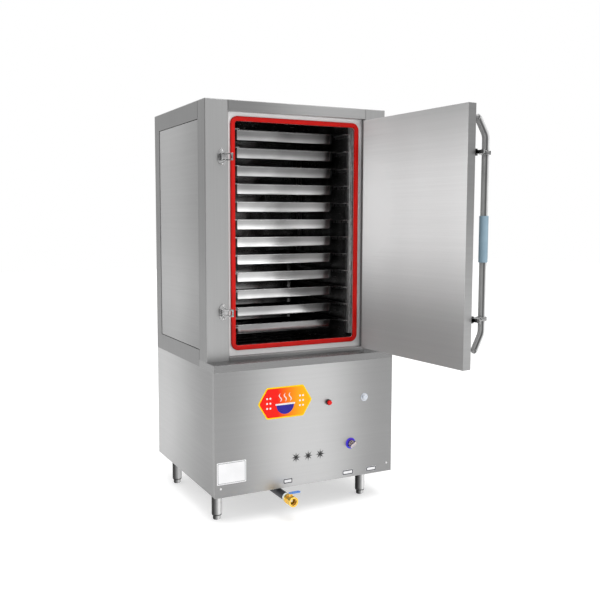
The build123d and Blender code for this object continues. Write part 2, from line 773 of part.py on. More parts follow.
with BuildPart() as burner:  # cast ring with flame ports, on a cross bar, and its feed pipe
    with BuildSketch(ring_plane):
        RectangleRounded(2 * burner_tube, 2 * burner_tube, burner_round)
    revolve(axis=ring_axis)
    with Locations(level(cabinet, burner_z + burner_tube).location * Pos(0, tank_middle, 0)):
        with PolarLocations(burner_radius, flame_ports):
            Cylinder(flame_port_radius, 2 * flame_port_depth, mode=Mode.SUBTRACT)
    block(cabinet, (-casing_half, casing_half), (tank_middle - burner_tube, tank_middle + burner_tube),
          (burner_z - burner_tube - burner_bar, burner_z - burner_tube))
    feed = burner_radius * cos(radians(45))
    route = [(knob_x, valve_back + seat, knob_z), (knob_x, feed_setback, knob_z),
             (knob_x, feed_setback, burner_z), (feed, tank_middle - feed, burner_z)]
    pipe(cabinet, route, pipe_bend, burner_feed)
finish(burner, "burner")

inlet_end = leg_clearance - inlet_drop
inlet_shoulder = inlet_end + thread_length


def threaded_end(x):
    # the narrower end of an inlet pipe, where its thread is cut
    rod(level(cabinet, inlet_end), x, inlet_back, thread_radius, thread_length)
    rod(level(cabinet, inlet_end), x, inlet_back, pipe_radius - pipe_wall, thread_length, mode=Mode.SUBTRACT)


with BuildPart() as gas_pipes:  # from the inlet under the base up and forward to the valve
    valve_middle = valve_front + valve_length / 2
    route = [(gas_inlet_x, inlet_back, inlet_shoulder), (gas_inlet_x, inlet_back, knob_z),
             (gas_inlet_x, valve_middle, knob_z), (knob_x + valve_radius + seat, valve_middle, knob_z)]
    pipe(cabinet, route, pipe_bend, pipe_radius, pipe_wall)
    threaded_end(gas_inlet_x)
finish(gas_pipes, "gas_pipes")

with BuildPart() as gas_valve:
    rod(facing(cabinet, valve_back), knob_x, knob_z, valve_radius, valve_length)
finish(gas_valve, "gas_valve")

with BuildPart() as knob_dial:  # coloured ring round the knob
    with BuildSketch(facing(cabinet, front_face)):
        with Locations((knob_x, knob_z)):
            Circle(dial_radius)
            Circle(spindle_radius + hole_clearance, mode=Mode.SUBTRACT)
    extrude(amount=dial_thickness)
finish(knob_dial, "knob_dial")

knob_seat = front_face - dial_thickness - seat

with BuildPart() as gas_knob:
    plane = facing(cabinet, knob_seat)
    rod(plane, knob_x, knob_z, knob_radius, knob_length / 3)
    with BuildSketch(plane) as wing:
        with Locations((knob_x, knob_z)):
            SlotOverall(knob_wing_length, knob_wing_width, rotation=knob_wing_turn)
    extrude(wing.sketch, amount=knob_length)
    rod(facing(cabinet, valve_front - seat), knob_x, knob_z, spindle_radius, valve_front - seat - knob_seat)
finish(gas_knob, "gas_knob")

with BuildPart() as button_collar:
    with BuildSketch(facing(cabinet, front_face)):
        with Locations((button_x, button_z)):
            Circle(collar_radius)
            Circle(button_radius + seat, mode=Mode.SUBTRACT)
    extrude(amount=collar_length)
finish(button_collar, "button_collar")

with BuildPart() as push_button:
    plane = facing(cabinet, front_face - button_travel - seat)
    rod(plane, button_x, button_z, button_radius, button_length - button_travel)
    fillet(push_button.faces().sort_by(Axis.Y)[0].edges(), radius=button_round)
    rod(facing(cabinet, panel_back + stem_length), button_x, button_z, stem_radius,
        stem_length + sheet + button_travel + seat)
finish(push_button, "push_button")

with BuildPart() as lamp_bezel:
    with BuildSketch(facing(cabinet, front_face)):
        with Locations((lamp_x, lamp_z)):
            Circle(bezel_radius)
            Circle(lamp_radius + seat, mode=Mode.SUBTRACT)
    extrude(amount=bezel_length)
finish(lamp_bezel, "lamp_bezel")

with BuildPart() as signal_lamp:
    rod(facing(cabinet, front_face - seat), lamp_x, lamp_z, lamp_radius, lamp_length)
    fillet(signal_lamp.faces().sort_by(Axis.Y)[0].edges(), radius=lamp_round)
    rod(facing(cabinet, panel_back + stem_length), lamp_x, lamp_z, stem_radius, stem_length + sheet + seat)
finish(signal_lamp, "signal_lamp")

# water inlet and drain

with BuildPart() as water_pipe:  # straight riser into the tank's bottom
    riser = tank_bottom - inlet_shoulder
    rod(level(cabinet, inlet_shoulder), water_inlet_x, inlet_back, pipe_radius, riser)
    rod(level(cabinet, inlet_shoulder), water_inlet_x, inlet_back, pipe_radius - pipe_wall, riser,
        mode=Mode.SUBTRACT)
    threaded_end(water_inlet_x)
finish(water_pipe, "water_pipe")

with BuildPart() as drain_pipe:  # from the tank's bottom, down and forward under the cabinet
    route = [(drain_x, drain_back, tank_bottom - seat), (drain_x, drain_back, drain_z),
             (drain_x, drain_front, drain_z)]
    pipe(cabinet, route, drain_bend, drain_radius, drain_wall)
finish(drain_pipe, "drain_pipe")

valve_start = drain_front - seat
ball_middle = valve_start - ball_valve_length / 2
valve_mouth = valve_start - ball_valve_length

with BuildPart() as drain_valve:  # brass body with a collar at each end and a neck for the stem
    rod(facing(cabinet, valve_start), drain_x, drain_z, ball_valve_radius, ball_valve_length)
    for y in (valve_start, valve_mouth + ball_collar_length):
        rod(facing(cabinet, y), drain_x, drain_z, ball_collar_radius, ball_collar_length)
    rod(level(cabinet, drain_z), drain_x, ball_middle, neck_radius, neck_top)
    rod(facing(cabinet, valve_mouth + ball_bore_depth), drain_x, drain_z, ball_bore_radius,
        ball_bore_depth, mode=Mode.SUBTRACT)
    rod(facing(cabinet, valve_start), drain_x, drain_z, drain_radius - drain_wall,
        ball_valve_length - ball_bore_depth, mode=Mode.SUBTRACT)
    rod(level(cabinet, drain_z), drain_x, ball_middle, lever_stem_radius + ball_clearance, neck_top,
        mode=Mode.SUBTRACT)
finish(drain_valve, "drain_valve")

with BuildPart() as valve_ball:  # bored ball on its stem
    with Locations(level(cabinet, drain_z).location * Pos(drain_x, ball_middle, 0)):
        Sphere(ball_radius)
    rod(across(cabinet, drain_x - ball_radius), ball_middle, drain_z, ball_port, 2 * ball_radius,
        mode=Mode.SUBTRACT)
    rod(level(cabinet, drain_z + ball_radius - stem_sink), drain_x, ball_middle, lever_stem_radius,
        neck_top - ball_radius + stem_sink + lever_blade)
finish(valve_ball, "valve_ball")

with BuildPart() as drain_lever:  # loop of flat bar on the stem, across the pipe when closed
    blade_middle = drain_x + (lever_blade_length - lever_blade_width) / 2
    with BuildSketch(level(cabinet, drain_z + neck_top + seat)):
        with Locations((blade_middle, ball_middle)):
            SlotOverall(lever_blade_length, lever_blade_width)
        with Locations((blade_middle + lever_eye_shift, ball_middle)):
            SlotOverall(lever_eye_length, lever_eye_width, mode=Mode.SUBTRACT)
        with Locations((drain_x, ball_middle)):
            Circle(lever_stem_radius + hinge_running_fit, mode=Mode.SUBTRACT)
    extrude(amount=lever_blade)
finish(drain_lever, "drain_lever")

# feet

with BuildPart() as leg_sleeves:
    for x, y in foot_places.values():
        with BuildSketch(level(cabinet, foot_height)) as ring:
            with Locations((x, y)):
                Circle(sleeve_radius)
                Circle(sleeve_radius - sleeve_wall, mode=Mode.SUBTRACT)
        extrude(ring.sketch, amount=leg_clearance - foot_height)
    rims = leg_sleeves.edges().filter_by(GeomType.CIRCLE).filter_by(lambda rim: rim.radius == sleeve_radius)
    chamfer(rims.group_by(Axis.Z)[0], length=sleeve_chamfer)
finish(leg_sleeves, "leg_sleeves")

for name, (x, y) in foot_places.items():
    with BuildPart() as foot:
        rod(level(cabinet), x, y, foot_radius, foot_height - foot_groove)
        rod(level(cabinet, foot_height - foot_groove), x, y, foot_radius - foot_groove_depth, foot_groove)
        rod(level(cabinet, foot_height), x, y, foot_stem_radius, foot_hold + foot_travel)
        chamfer(foot.faces().sort_by(Axis.Z)[0].edges(), length=foot_chamfer)
    finish(foot, f"foot_{name}")
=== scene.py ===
import math
import bmesh
import bpy
from mathutils import Matrix, Vector


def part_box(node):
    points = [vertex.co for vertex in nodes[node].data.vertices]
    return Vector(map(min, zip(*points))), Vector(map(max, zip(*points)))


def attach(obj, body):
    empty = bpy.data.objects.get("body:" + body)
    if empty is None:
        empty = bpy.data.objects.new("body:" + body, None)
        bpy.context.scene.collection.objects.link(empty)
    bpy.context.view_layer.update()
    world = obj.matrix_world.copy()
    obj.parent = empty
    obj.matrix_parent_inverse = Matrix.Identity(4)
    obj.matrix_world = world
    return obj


# a gas steam cabinet for rice noodle rolls, with its door open and its twelve trays in
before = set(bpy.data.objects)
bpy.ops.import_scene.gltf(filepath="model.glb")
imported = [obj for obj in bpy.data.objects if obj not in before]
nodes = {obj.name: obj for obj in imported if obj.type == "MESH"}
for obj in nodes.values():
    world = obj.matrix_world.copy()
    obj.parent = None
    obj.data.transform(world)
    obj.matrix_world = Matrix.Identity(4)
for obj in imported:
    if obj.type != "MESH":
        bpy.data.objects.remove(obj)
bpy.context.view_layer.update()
print("frame loaded:", len(nodes), "nodes")

mm = 0.001  # the frame is in metres, most sizes below are in millimetres
fullTurn = 2 * math.pi
scene = bpy.context.scene


def startFinish(name):
    finish = bpy.data.materials.new(name)
    finish.use_nodes = True
    tree = finish.node_tree
    return finish, tree, tree.nodes["Principled BSDF"]


def addNode(tree, kind, **values):
    # each value goes to the input of that name, or else to the node itself
    node = tree.nodes.new(kind)
    for key, value in values.items():
        if key in node.inputs:
            node.inputs[key].default_value = value
        else:
            setattr(node, key, value)
    return node


def plug(tree, value, socket):
    # a link from another node's socket, or a plain value
    if isinstance(value, bpy.types.NodeSocket):
        tree.links.new(value, socket)
    else:
        socket.default_value = value


def calc(tree, operation, *terms):
    # one step of arithmetic on numbers and sockets
    step = addNode(tree, "ShaderNodeMath", operation=operation)
    for term, socket in zip(terms, step.inputs):
        plug(tree, term, socket)
    return step.outputs[0]


def component(tree, kind, outName, axis):
    # one axis of a place or of a normal
    source = addNode(tree, kind)
    split = addNode(tree, "ShaderNodeSeparateXYZ")
    tree.links.new(source.outputs[outName], split.inputs[0])
    return split.outputs[axis]


def spread(tree, source, low, high, fromLow=0.3, fromHigh=0.7, curve="LINEAR"):
    # carries a range of the source over to low and high
    carried = addNode(tree, "ShaderNodeMapRange", interpolation_type=curve)
    parts = {"Value": source, "From Min": fromLow, "From Max": fromHigh, "To Min": low, "To Max": high}
    for name, value in parts.items():
        plug(tree, value, carried.inputs[name])
    return carried.outputs[0]


# kinds of noise: detail, roughness, and a shift that keeps their patterns apart
noises = {
    "grain": (4.0, 0.6, (0.0, 0.0, 0.0)),
    "streaks": (2.0, 0.5, (3.1, 1.7, 0.4)),
    "smudges": (2.0, 0.5, (0.3, 2.2, 5.1)),
    "waves": (2.0, 0.5, (0.0, 0.0, 0.0)),
    "scratches": (3.0, 0.6, (1.2, 0.7, 2.4)),
    "clouds": (3.0, 0.5, (0.0, 0.0, 0.0)),
    "skin": (4.0, 0.6, (0.6, 1.9, 3.3)),
    "print": (2.0, 0.55, (0.0, 0.0, 0.0)),
    "floor": (3.0, 0.55, (0.0, 0.0, 0.0)),
}


def stretchedNoise(tree, kind, stretch):
    # noise drawn out along the object's own axes
    detail, rough, shift = noises[kind]
    place = addNode(tree, "ShaderNodeTexCoord")
    mapping = addNode(tree, "ShaderNodeMapping", Scale=stretch, Location=shift)
    noise = addNode(tree, "ShaderNodeTexNoise", Scale=1.0, Detail=detail, Roughness=rough)
    tree.links.new(place.outputs["Object"], mapping.inputs["Vector"])
    tree.links.new(mapping.outputs["Vector"], noise.inputs["Vector"])
    return noise.outputs["Fac"]


def blendColours(tree, share, first, second):
    # the first colour where the share is 0, the second where it is 1
    mix = addNode(tree, "ShaderNodeMix", data_type="RGBA")
    plug(tree, share, mix.inputs[0])
    for colour, socket in ((first, mix.inputs[6]), (second, mix.inputs[7])):
        plug(tree, (*colour, 1.0) if isinstance(colour, tuple) else colour, socket)
    return mix.outputs[2]


def timesFactor(tree, colour, factor):
    scaledColour = addNode(tree, "ShaderNodeVectorMath", operation="SCALE")
    tree.links.new(colour, scaledColour.inputs[0])
    tree.links.new(factor, scaledColour.inputs["Scale"])
    return scaledColour.outputs[0]


def rampOf(tree, source, stops, curve="LINEAR"):
    # a grey ramp through stops of (place, value)
    ramp = addNode(tree, "ShaderNodeValToRGB")
    ramp.color_ramp.interpolation = curve
    elements = ramp.color_ramp.elements
    while len(elements) < len(stops):
        elements.new(1.0)
    for element, (spot, value) in zip(elements, stops):
        element.position = spot
        element.color = (value, value, value, 1.0)
    tree.links.new(source, ramp.inputs[0])
    return ramp.outputs[0]


foldMatch = {"sharp": 0.78, "flat": 0.995, "samples": 4}  # how far the softened normal keeps to the true one


def paintedFoldHighlight(tree, radius):
    # a mask for a painted highlight, 1 on sharp folds and 0 on flat sheet, and the softened normal
    soft = addNode(tree, "ShaderNodeBevel", samples=foldMatch["samples"], Radius=radius)
    flat = addNode(tree, "ShaderNodeNewGeometry")
    match = addNode(tree, "ShaderNodeVectorMath", operation="DOT_PRODUCT")
    tree.links.new(soft.outputs["Normal"], match.inputs[0])
    tree.links.new(flat.outputs["Normal"], match.inputs[1])
    edge = spread(tree, match.outputs["Value"], 1.0, 0.0, foldMatch["sharp"], foldMatch["flat"])
    return edge, soft.outputs["Normal"]


def addBump(tree, height, normal, strength, distance):
    bump = addNode(tree, "ShaderNodeBump", Strength=strength, Distance=distance)
    tree.links.new(height, bump.inputs["Height"])
    tree.links.new(normal, bump.inputs["Normal"])
    return bump.outputs["Normal"]


def sheenBand(tree, axis, middle, reach, gain):
    # a factor for painted light: 1 + gain in the middle of a band across the object's axis, 1 away from it;
    # a gain above 0 paints a highlight and one below 0 paints shade
    offset = calc(tree, "SUBTRACT", component(tree, "ShaderNodeTexCoord", "Object", axis), middle)
    return spread(tree, calc(tree, "ABSOLUTE", offset), 1.0 + gain, 1.0, 0.0, reach, "SMOOTHERSTEP")


squareOn = {"least": 0.6, "full": 0.9}  # how far a normal lies along the axis


def paintedSideShade(tree, axis, factor):
    # painted shade by the way a face looks: the factor on faces that look along an axis, 1 on the others
    facing = calc(tree, "ABSOLUTE", component(tree, "ShaderNodeNewGeometry", "True Normal", axis))
    return spread(tree, facing, 1.0, factor, squareOn["least"], squareOn["full"])


def compassShare(tree, across, ahead):
    # the angle between two directions as a share of a full turn
    angle = calc(tree, "FLOORED_MODULO", calc(tree, "ARCTAN2", across, ahead), fullTurn)
    return calc(tree, "DIVIDE", angle, fullTurn)


def paintedReflectionShare(tree, stops):
    # painted reflection: a factor by the way round the compass that a face looks
    normals = [component(tree, "ShaderNodeNewGeometry", "Normal", axis) for axis in ("Y", "X")]
    shares = [(degrees / 360.0, value) for degrees, value in stops]
    return rampOf(tree, compassShare(tree, *normals), shares)


def repeatedPaintedLight(tree, fade):
    # painted light that runs down each wall of a stack, from its top to its foot
    fallen = calc(tree, "SUBTRACT", fade["top"], component(tree, "ShaderNodeTexCoord", "Object", "Z"))
    within = calc(tree, "MODULO", fallen, fade["pitch"])
    return rampOf(tree, calc(tree, "DIVIDE", within, fade["depth"]), fade["stops"])


def wireShader(tree, shader, colour, roughness, normal, constants):
    for name, socket in (("Base Color", colour), ("Roughness", roughness), ("Normal", normal)):
        tree.links.new(socket, shader.inputs[name])
    for name, value in constants.items():
        shader.inputs[name].default_value = value


relief = {"grain": 0.0004, "wave": 0.004, "scratch": 0.0003}  # in metres, at full strength


def brushedSteel(name, look):
    # rolled sheet with a fine brushed grain and faint smudges, with lighter folds as a painted highlight and
    # bands and faces of painted light and shade
    finish, tree, shader = startFinish(name)
    broadGrain = tuple(stretch * look["streakScale"] for stretch in look["grain"])
    fine = stretchedNoise(tree, "grain", look["grain"])
    broad = stretchedNoise(tree, "streaks", broadGrain)
    smudge = stretchedNoise(tree, "smudges", (look["smudge"],) * 3)
    fineStreaks = spread(tree, fine, 0.0, look["fineShare"])
    streaks = calc(tree, "ADD", fineStreaks, spread(tree, broad, 0.0, 1.0 - look["fineShare"]))
    sheet = blendColours(tree, streaks, look["shade"], look["tone"])
    edge, soft = paintedFoldHighlight(tree, look["fold"])
    highlighted = blendColours(tree, calc(tree, "MULTIPLY", edge, look["edge"]), sheet, look["bright"])
    for band in look["sheen"]:
        highlighted = timesFactor(tree, highlighted, sheenBand(tree, *band))
    for axis, factor in look["facing"]:
        highlighted = timesFactor(tree, highlighted, paintedSideShade(tree, axis, factor))
    middle, give = look["rough"], look["roughSpread"]
    grainRough = spread(tree, fine, middle - give, middle + give)
    rough = calc(tree, "ADD", grainRough, spread(tree, smudge, *look["smudgeRough"]))
    normal = addBump(tree, fine, soft, look["bump"], relief["grain"])
    wireShader(tree, shader, highlighted, rough, normal,
               {"Metallic": look["metal"], "Anisotropic": look["anisotropy"]})
    return finish


def polishedSteel(name, look):
    # pressed or drawn metal with soft waves in its mirror, as bumps and as painted reflection in its tone,
    # fine scratches, and a painted highlight on its folds
    finish, tree, shader = startFinish(name)
    wave = stretchedNoise(tree, "waves", look["wave"])
    scratch = stretchedNoise(tree, "scratches", look["scratch"])
    shaded = blendColours(tree, spread(tree, wave, 0.0, 1.0), look["shade"], look["tone"])
    for band in look["sheen"]:
        shaded = timesFactor(tree, shaded, sheenBand(tree, *band))
    if look["repeat"]:
        shaded = timesFactor(tree, shaded, repeatedPaintedLight(tree, look["repeat"]))
    if look["around"]:
        shaded = timesFactor(tree, shaded, paintedReflectionShare(tree, look["around"]))
    edge, soft = paintedFoldHighlight(tree, look["fold"])
    highlighted = blendColours(tree, edge, shaded, look["bright"])
    rough = spread(tree, scratch, *(look["rough"] * share for share in look["scratchRough"]))
    waved = addBump(tree, wave, soft, look["waveDepth"], relief["wave"])
    normal = addBump(tree, scratch, waved, look["scratchDepth"], relief["scratch"])
    wireShader(tree, shader, highlighted, rough, normal,
               {"Metallic": look["metal"], "Specular IOR Level": look["specular"]})
    return finish


def mouldedPlastic(name, look):
    # moulded plastic, rubber or enamel with a fine skin and slight colour clouds
    finish, tree, shader = startFinish(name)
    cloud = stretchedNoise(tree, "clouds", (look["cloud"],) * 3)
    skin = stretchedNoise(tree, "skin", (look["skin"],) * 3)
    tone = blendColours(tree, spread(tree, cloud, 0.0, 1.0), look["shade"], look["tone"])
    edge, soft = paintedFoldHighlight(tree, look["fold"])
    highlighted = blendColours(tree, calc(tree, "MULTIPLY", edge, look["edge"]), tone, look["bright"])
    rough = spread(tree, skin, *(look["rough"] + give for give in look["skinRough"]))
    normal = addBump(tree, skin, soft, look["bump"], relief["grain"])
    wireShader(tree, shader, highlighted, rough, normal,
               {"Coat Weight": look["coat"], "Coat Roughness": look["coatRough"],
                "Specular IOR Level": look["specular"]})
    return finish


def asColour(tone):
    return tone if isinstance(tone, tuple) else (tone,) * 3


# the way that the brushed grain runs: round the cabinet, along a rail or up a post
roundGrain = (5.0, 5.0, 620.0)
railGrain = (5.0, 620.0, 620.0)
postGrain = (620.0, 620.0, 5.0)


def steelLook(tone, shade, rough, grain=roundGrain, **changes):
    # folds are a quarter brighter than the sheet, a painted highlight
    bright = tuple(min(value * 1.25, 0.95) for value in asColour(tone))
    look = {"tone": asColour(tone), "shade": asColour(shade), "bright": bright, "rough": rough,
            "roughSpread": 0.05, "grain": grain, "streakScale": 0.16, "fineShare": 0.6, "bump": 0.12,
            "fold": 0.0016, "edge": 0.6, "anisotropy": 0.3, "metal": 1.0, "smudge": 3.0,
            "smudgeRough": (-0.03, 0.04), "sheen": (), "facing": ()}
    return {**look, **changes}


def polishLook(tone, shade, rough, **changes):
    look = {"tone": asColour(tone), "shade": asColour(shade), "bright": asColour(0.9), "rough": rough,
            "wave": (9.0, 9.0, 26.0), "waveDepth": 0.12, "scratch": (30.0, 30.0, 900.0),
            "scratchDepth": 0.05, "scratchRough": (0.7, 1.4), "fold": 0.0008, "metal": 1.0,
            "specular": 0.5, "sheen": (), "repeat": None, "around": None}
    return {**look, **changes}


def plasticLook(tone, shade, rough, **changes):
    # edges are slightly paler than the skin, a painted highlight
    bright = tuple(min(value * 1.3 + 0.03, 1.0) for value in asColour(tone))
    look = {"tone": asColour(tone), "shade": asColour(shade), "bright": bright, "rough": rough,
            "cloud": 22.0, "skin": 900.0, "skinRough": (-0.06, 0.08), "bump": 0.1, "fold": 0.0006,
            "edge": 0.4, "coat": 0.0, "coatRough": 0.15, "specular": 0.5}
    return {**look, **changes}


# painted light is (axis, middle, reach, gain), in metres along the object's own axis: a painted highlight
# where the gain is above 0 and painted shade where it is below
# the casing pieces are one stainless steel, with tones set piece by piece as painted light and shade on each
# face
sheetLooks = {
    "frontSteel": steelLook(0.275, 0.257, 0.36, sheen=(("X", -0.03, 0.36, 0.85),)),
    "railSteel": steelLook(0.25, 0.22, 0.36, railGrain, sheen=(("X", 0.12, 0.42, 0.85),)),
    # the posts' faces that look along x get a painted shade
    "postSteel": steelLook(0.40, 0.36, 0.38, postGrain, facing=(("X", 0.6),)),
    "stripSteel": steelLook(0.225, 0.20, 0.38, postGrain),
    "sideSteel": steelLook(0.29, 0.26, 0.38, sheen=(("Y", 0.46, 0.5, 0.45), ("Z", 0.5, 0.4, -0.2))),
    "lowSideSteel": steelLook(0.265, 0.235, 0.38, sheen=(("Y", 0.56, 0.62, 0.78),)),
    "topSteel": steelLook(0.40, 0.35, 0.34, railGrain),
    "ledgeSteel": steelLook(0.23, 0.20, 0.26, railGrain),
    "doorSteel": steelLook(0.35, 0.32, 0.5, bump=0.09, anisotropy=0.0, metal=0.3,
                           sheen=(("Z", 1.12, 0.5, 1.75), ("Y", 0.0, 0.3, 0.3), ("Y", -0.54, 0.36, -0.16))),
    "doorBackSteel": steelLook(0.30, 0.26, 0.38, bump=0.09, sheen=(("Z", 0.80, 0.5, 0.35),)),
    "frameSteel": steelLook(0.86, 0.81, 0.45, bump=0.06, metal=0.25, sheen=(("Z", 1.46, 0.16, 0.2),)),
    "castIron": steelLook(0.06, 0.03, 0.65, (150.0,) * 3, bump=0.6, anisotropy=0.0),
    "zincPipe": steelLook(0.42, 0.30, 0.42, (90.0,) * 3, bump=0.3, anisotropy=0.0),
}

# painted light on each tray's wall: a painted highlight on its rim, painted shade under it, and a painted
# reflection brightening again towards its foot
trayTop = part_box("tray_01")[1][2]
trayPaintedLight = {"top": trayTop + 0.5 * mm, "pitch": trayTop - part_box("tray_02")[1][2],
            "depth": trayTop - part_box("tray_01")[0][2],
            "stops": ((0.0, 0.95), (0.1, 0.42), (0.45, 0.5), (0.75, 0.95), (0.92, 1.0), (1.0, 0.7))}

# painted reflection round upright tubes: brightness by the compass direction that the face looks, in degrees
legPaintedReflection = ((0, 0.5), (40, 0.2), (80, 0.8), (150, 0.03), (200, 0.03), (220, 0.08), (234, 0.17), (248, 0.33),
            (263, 0.6), (277, 1.0), (288, 0.6), (302, 0.95), (318, 0.5), (338, 0.2))
barPaintedReflection = ((0, 0.8), (90, 0.5), (140, 0.5), (200, 0.44), (228, 0.32), (240, 0.1), (256, 0.07), (267, 0.36),
            (283, 0.8), (320, 0.9))
evenScratch = (300.0, 300.0, 300.0)
metalLooks = {
    "strikerSteel": polishLook(0.50, 0.22, 0.16, wave=(70.0, 70.0, 70.0), waveDepth=0.35,
                               scratch=evenScratch),
    "knobSteel": polishLook((0.62, 0.56, 0.52), (0.22, 0.18, 0.20), 0.14, wave=(90.0, 90.0, 90.0),
                            waveDepth=0.3),
    # the chamber's steel is painted near black as shade inside the chamber, with vertical streaks as painted
    # reflections
    "chamberSteelPaintedShade": polishLook(0.26, 0.012, 0.2, bright=asColour(0.3), wave=(16.0, 16.0, 5.0), metal=0.75),
    # the racks are painted dark as shade inside the chamber, with a painted highlight on their front
    # uprights
    "rackSteelPaintedShade": polishLook(0.10, 0.03, 0.25, bright=asColour(0.14), wave=(150.0, 150.0, 5.0), metal=0.5,
                            scratch=(300.0, 300.0, 30.0), sheen=(("Y", 0.055, 0.035, 6.2),)),
    "tankSteel": polishLook(0.50, 0.38, 0.25),
    # the trays are painted darker at their right ends and lighter in the middle of the stack, as painted
    # shade and painted highlight
    "traySteel": polishLook(0.52, 0.33, 0.14, fold=0.0014, wave=(6.0, 6.0, 13.0), waveDepth=0.16,
                            scratch=(20.0, 20.0, 700.0), repeat=trayPaintedLight,
                            sheen=(("X", 0.26, 0.28, -0.92), ("Z", 0.97, 0.42, 1.0))),
    "chrome": polishLook(0.66, 0.56, 0.12, wave=(40.0, 40.0, 40.0), waveDepth=0.05, scratch=evenScratch),
    "barSteel": polishLook(0.95, 0.80, 0.15, scratch=(700.0, 700.0, 12.0), metal=0.1,
                           wave=(30.0, 30.0, 12.0), waveDepth=0.04, around=barPaintedReflection),
    "legSteel": polishLook(0.95, 0.88, 0.16, scratch=(300.0, 300.0, 700.0), metal=0.5, specular=0.08,
                           around=legPaintedReflection),
    "darkSteel": polishLook(0.05, 0.03, 0.35, bright=asColour(0.3), scratch=evenScratch),
    "brass": polishLook((0.95, 0.66, 0.14), (0.85, 0.52, 0.09), 0.22, bright=(0.95, 0.74, 0.36),
                        scratch=evenScratch, wave=(60.0, 60.0, 60.0), waveDepth=0.06),
}
plasticLooks = {
    "sealRed": plasticLook((0.60, 0.006, 0.003), (0.50, 0.004, 0.002), 0.42, specular=0.18,
                           bright=(0.80, 0.03, 0.02)),
    "gripBlue": plasticLook((0.27, 0.385, 0.465), (0.215, 0.32, 0.40), 0.42),
    "leverBlue": plasticLook((0.06, 0.28, 0.80), (0.04, 0.20, 0.66), 0.3, coat=0.5),
    "dialBlue": plasticLook((0.02, 0.07, 0.85), (0.16, 0.02, 0.42), 0.3, specular=0.2, cloud=60.0),
    "buttonRed": plasticLook((0.80, 0.004, 0.002), (0.66, 0.003, 0.002), 0.22, specular=0.25),
    "collarDark": plasticLook((0.030, 0.012, 0.012), (0.016, 0.008, 0.008), 0.4),
    "lampWhite": plasticLook((0.60, 0.64, 0.70), (0.48, 0.52, 0.60), 0.2, coat=0.3),
    "pipeBlack": plasticLook((0.034, 0.036, 0.044), (0.018, 0.018, 0.024), 0.42),
    "tapeWhite": plasticLook((0.80, 0.86, 0.86), (0.68, 0.76, 0.77), 0.6),
    "ringBlack": plasticLook(0.012, 0.006, 0.5),
    "plateWhite": plasticLook((0.84, 0.84, 0.85), (0.78, 0.78, 0.79), 0.34, coat=0.3),
    "plateBorder": plasticLook((0.025, 0.028, 0.045), (0.016, 0.018, 0.03), 0.4, specular=0.2),
    "badgeYellow": plasticLook((0.95, 0.66, 0.004), (0.88, 0.55, 0.003), 0.35, specular=0.15),
    "badgeBlue": plasticLook((0.032, 0.022, 0.32), (0.024, 0.016, 0.25), 0.35, specular=0.15),
    "badgeWhite": plasticLook((0.86, 0.86, 0.84), (0.78, 0.78, 0.76), 0.35, specular=0.2),
    "wool": plasticLook((0.55, 0.52, 0.42), (0.40, 0.37, 0.28), 0.9, skin=300.0, bump=0.8),
}
finishes = {}
makers = ((brushedSteel, sheetLooks), (polishedSteel, metalLooks), (mouldedPlastic, plasticLooks))
for makeFinish, looks in makers:
    for name, look in looks.items():
        finishes[name] = makeFinish(name, look)
print("finishes made:", len(finishes))

dressed = {
    "frontSteel": ("lower_front",),
    "railSteel": ("header_rail", "sill_rail"),
    "postSteel": ("front_posts",),
    "stripSteel": ("side_frames",),
    "sideSteel": ("side_panels", "back_panels"),
    "lowSideSteel": ("lower_sides",),
    "topSteel": ("top_cover", "base_pan"),
    "ledgeSteel": ("front_ledge",),
    "doorSteel": ("door_inner_panel",),
    "doorBackSteel": ("door_outer_panel",),
    "frameSteel": ("recess_frame",),
    "chamberSteelPaintedShade": ("chamber_liner",),
    "rackSteelPaintedShade": ("tray_racks",),
    "tankSteel": ("water_tank",),
    "traySteel": tuple(f"tray_{number:02d}" for number in range(1, 13)),
    "strikerSteel": ("strikers", "latch_levers"),
    "chrome": ("panel_screws", "lamp_bezel", "door_hinges", "hinge_brackets", "valve_ball"),
    "barSteel": ("handle_bar",),
    "knobSteel": ("gas_knob",),
    "legSteel": ("leg_sleeves", "foot_front_left", "foot_front_right", "foot_rear_left", "foot_rear_right"),
    "darkSteel": ("latch_brackets",),
    "brass": ("drain_valve", "gas_valve"),
    "castIron": ("burner",),
    "zincPipe": ("gas_pipes", "water_pipe"),
    "sealRed": ("door_seal",),
    "gripBlue": ("handle_grip",),
    "leverBlue": ("drain_lever",),
    "dialBlue": ("knob_dial",),
    "buttonRed": ("push_button",),
    "collarDark": ("button_collar",),
    "lampWhite": ("signal_lamp",),
    "pipeBlack": ("drain_pipe",),
    "wool": ("insulation", "door_core"),
}
for finishName, names in dressed.items():
    for name in names:
        slots = nodes[name].material_slots
        for slot in slots:
            slot.material = finishes[finishName]
        if not slots:
            nodes[name].data.materials.append(finishes[finishName])
bare = set(nodes) - {name for names in dressed.values() for name in names}
print("nodes without a finish:", sorted(bare))


softEdge = {"segments": 2, "angle": 40.0}


def addPiece(name, shape, finishNames, body, bevel=0.0, smooth=False):
    # a mesh with its finishes, which moves with one body of the frame
    mesh = bpy.data.meshes.new(name)
    bmesh.ops.recalc_face_normals(shape, faces=shape.faces)
    shape.to_mesh(mesh)
    shape.free()
    for finishName in finishNames:
        mesh.materials.append(finishes[finishName])
    for face in mesh.polygons:
        face.use_smooth = smooth
    piece = bpy.data.objects.new(name, mesh)
    scene.collection.objects.link(piece)
    if bevel:
        edge = piece.modifiers.new("softEdge", "BEVEL")
        edge.width = bevel
        edge.segments = softEdge["segments"]
        edge.limit_method = "ANGLE"
        edge.angle_limit = math.radians(softEdge["angle"])
    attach(piece, body)


def scaled(points):
    return [(across * mm, up * mm) for across, up in points]


